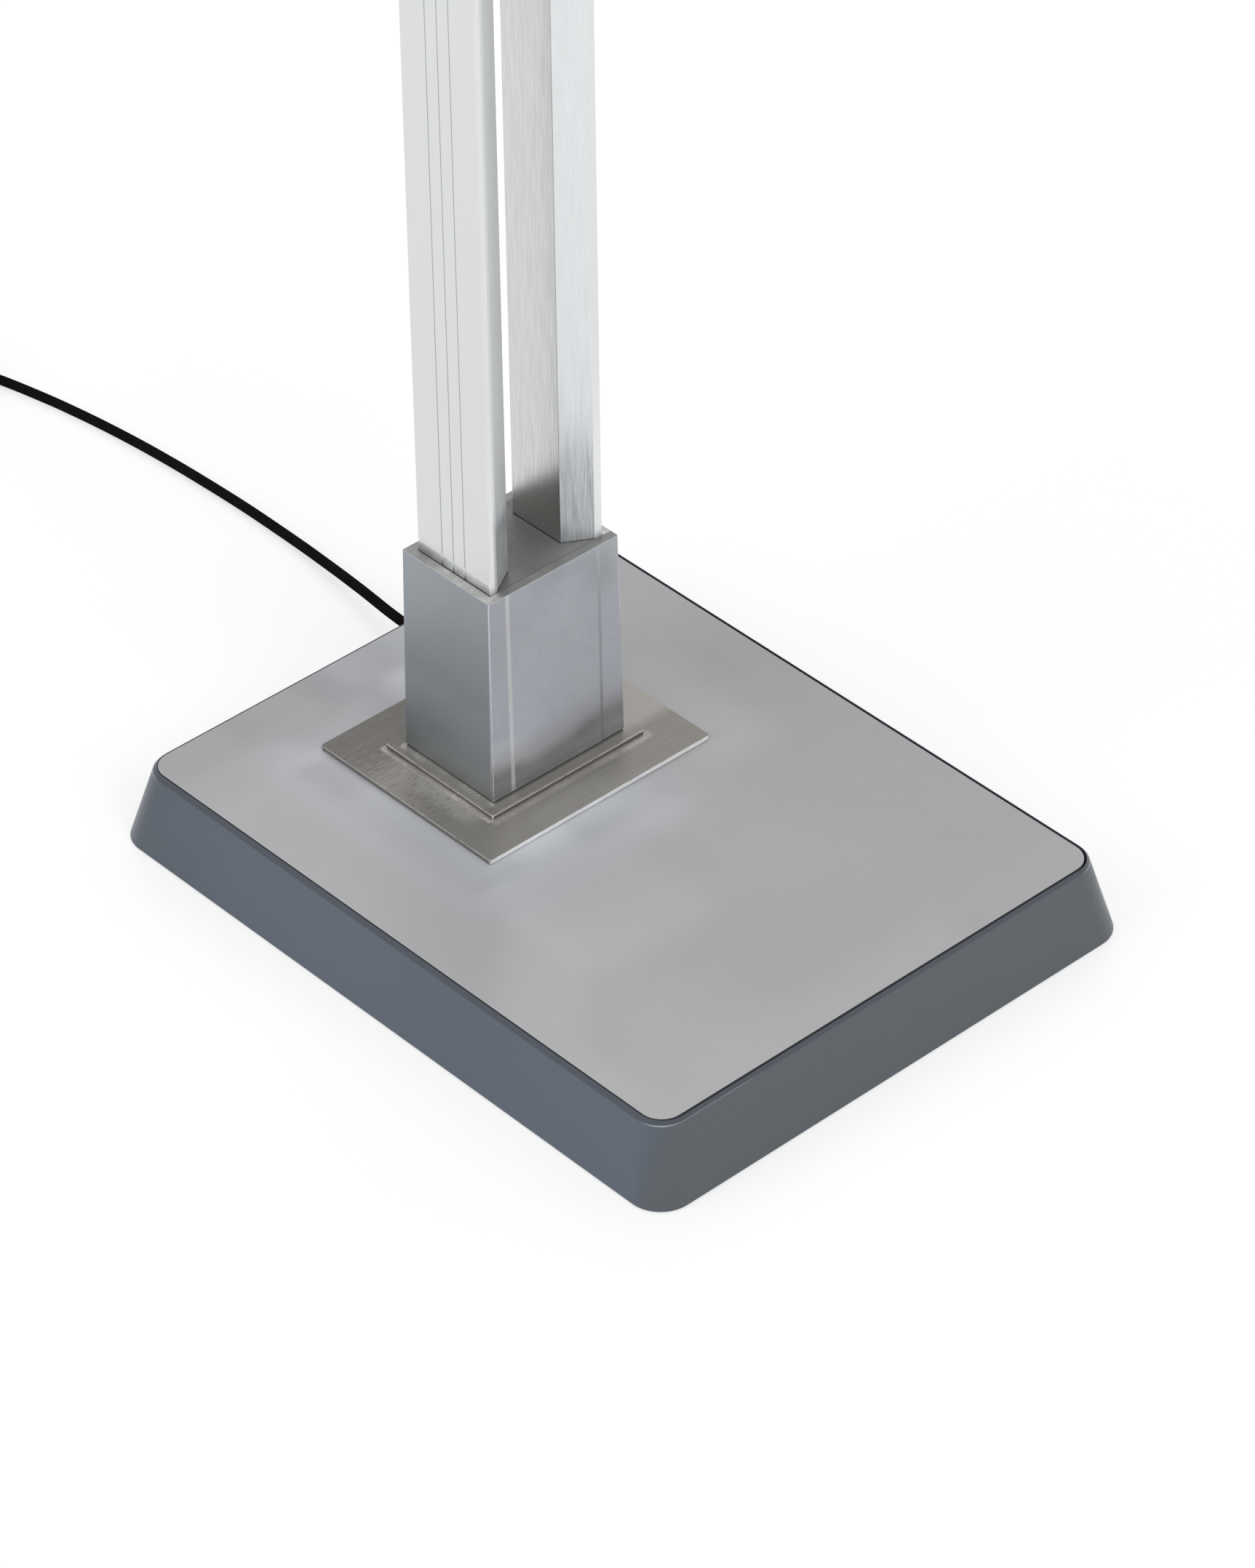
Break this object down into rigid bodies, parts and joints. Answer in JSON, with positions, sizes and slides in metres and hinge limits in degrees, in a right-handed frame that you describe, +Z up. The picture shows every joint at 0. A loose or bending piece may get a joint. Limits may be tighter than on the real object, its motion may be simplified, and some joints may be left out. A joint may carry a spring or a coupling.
{
  "type": "office floor lamp",
  "caption": "Tall office floor lamp: flared weighted foot, tapered collar, twin aluminium uprights with push buttons, flat tilting light head and a coiled mains lead.",
  "frame": {"origin": "middle of the floor mat's underside, on the floor", "axes": "+X along the foot's long free end, +Y across the foot, +Z up"},
  "size_m": [1.2008, 0.362, 1.94],
  "materials": {
    "cover_paint": "fine satin powder coat, pale grey",
    "lid_paint": "fine satin powder coat on aluminium sheet, pale grey",
    "rim_paint": "fine satin powder coat, darker blue grey",
    "brushed_steel": "fine brushed, warm grey",
    "collar_paint": "satin mid grey",
    "core_grey": "dark anodised",
    "anodised_aluminium": "natural anodised, lightly brushed lengthways",
    "plain_aluminium": "natural",
    "dark_aluminium": "dark anodised",
    "zinc_steel": "zinc plated",
    "black_steel": "black oxide",
    "ballast_steel": "primed",
    "mat_rubber": "dull black",
    "cord_rubber": "satin black",
    "plug_rubber": "satin black",
    "pin_metal": "nickel plated",
    "clip_brass": "bare",
    "bush_bronze": "sintered",
    "friction_plastic": "dull dark grey",
    "terminal_plastic": "off white",
    "cable_sheath": "white",
    "dark_plastic": "fine matt, dark grey",
    "button_plastic": "fine matt, pale grey",
    "board_green": "solder resist",
    "led_white": "white solder resist",
    "opal_acrylic": "opal",
    "clear_acrylic": "clear"
  },
  "bodies": {
    "stand": {"floor_mat": "mat_rubber", "underside_cover": "zinc_steel", "cover_spacers": "zinc_steel", "cover_screws": "zinc_steel", "foot_rim": "rim_paint", "rim_screws": "zinc_steel", "cover_plate": "cover_paint", "ballast_plate": "ballast_steel", "column_bolts": "zinc_steel", "terminal_block": "terminal_plastic", "inlet_lead": "cord_rubber", "cord_relief": "plug_rubber", "mains_cord": "cord_rubber", "cord_coil": "cord_rubber", "cord_tail": "cord_rubber", "plug_body": "plug_rubber", "plug_pins": "pin_metal", "plug_earth_clips": "clip_brass", "lower_steel_plate": "brushed_steel", "upper_steel_plate": "brushed_steel", "collar": "collar_paint", "column_core": "core_grey", "set_screws": "black_steel", "upright_left": "anodised_aluminium", "upright_right": "anodised_aluminium", "upright_caps": "dark_plastic", "bridges": "plain_aluminium", "bridge_screws": "zinc_steel", "control_box": "dark_plastic", "control_plate": "plain_aluminium", "control_screws": "zinc_steel", "switch_board": "board_green", "column_cable": "cable_sheath", "tilt_axle": "zinc_steel", "axle_caps": "plain_aluminium", "friction_washers": "friction_plastic", "stop_pin": "zinc_steel"},
    "head": {"neck": "plain_aluminium", "tilt_bushes": "bush_bronze", "neck_screws": "zinc_steel", "mount_plate": "dark_aluminium", "head_frame": "anodised_aluminium", "partition": "dark_aluminium", "heat_tray": "plain_aluminium", "lower_led_board": "led_white", "upper_led_board": "led_white", "diffuser": "opal_acrylic", "clear_cover": "clear_acrylic", "rear_lid": "lid_paint", "led_driver": "terminal_plastic", "head_terminal": "terminal_plastic", "head_lead": "cable_sheath", "sensor_ring": "dark_plastic", "sensor_lens": "opal_acrylic", "head_screws": "zinc_steel"},
    "power_button": {"power_button": "button_plastic"},
    "dimmer_button": {"dimmer_button": "button_plastic"}
  },
  "joints": [
    {"name": "head_tilt", "type": "hinge", "parent": "stand", "child": "head", "pos_m": [-0.085, 0, 1.868], "axis": [0, 1, 0], "range_deg": [-15, 15]},
    {"name": "power_button_press", "type": "slide", "parent": "stand", "child": "power_button", "axis": [-1, 0, 0], "range_m": [0, 0.0015], "stiffness_N_per_m": 800, "springref_m": -0.001},
    {"name": "dimmer_button_press", "type": "slide", "parent": "stand", "child": "dimmer_button", "axis": [-1, 0, 0], "range_m": [0, 0.0015], "stiffness_N_per_m": 800, "springref_m": -0.001}
  ]
}
